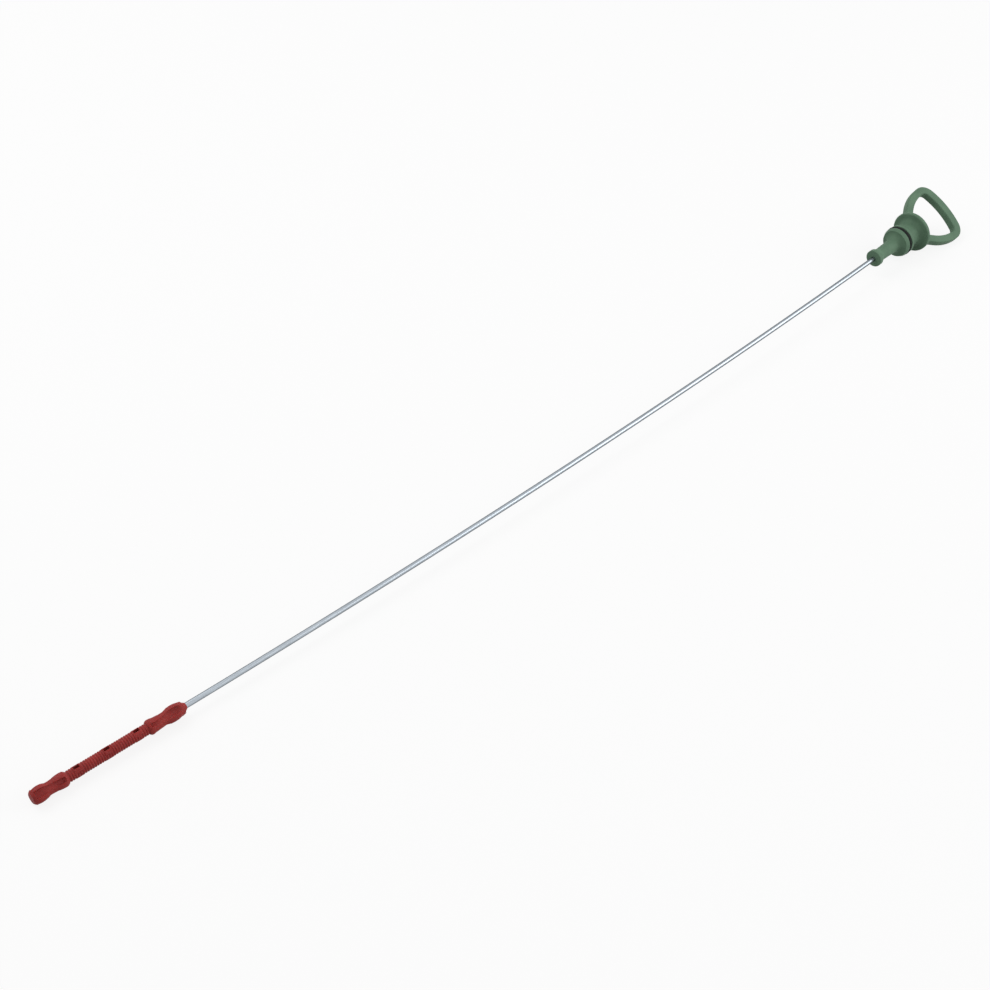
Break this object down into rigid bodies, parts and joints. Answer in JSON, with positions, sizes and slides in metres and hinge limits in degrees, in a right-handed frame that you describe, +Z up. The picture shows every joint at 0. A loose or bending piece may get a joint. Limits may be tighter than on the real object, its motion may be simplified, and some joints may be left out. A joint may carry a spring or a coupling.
{
  "type": "engine oil dipstick",
  "caption": "Engine oil dipstick: moulded level indicator on a long bright wire, with a sealed plug handle and a finger loop.",
  "frame": {"origin": "on the bench, under the middle of the dipstick as it lies", "axes": "+X from the indicator to the finger loop, along the handle's axis as seen from above, +Z up"},
  "size_m": [0.6175, 0.0443, 0.0234],
  "materials": {
    "handle": "green moulded plastic with a fine satin grain",
    "sealing_ring": "black rubber",
    "wire": "bright drawn steel wire",
    "indicator": "red moulded plastic"
  },
  "bodies": {
    "root": {"handle": "handle", "sealing_ring": "sealing_ring", "wire": "wire", "indicator": "indicator"}
  },
  "joints": []
}
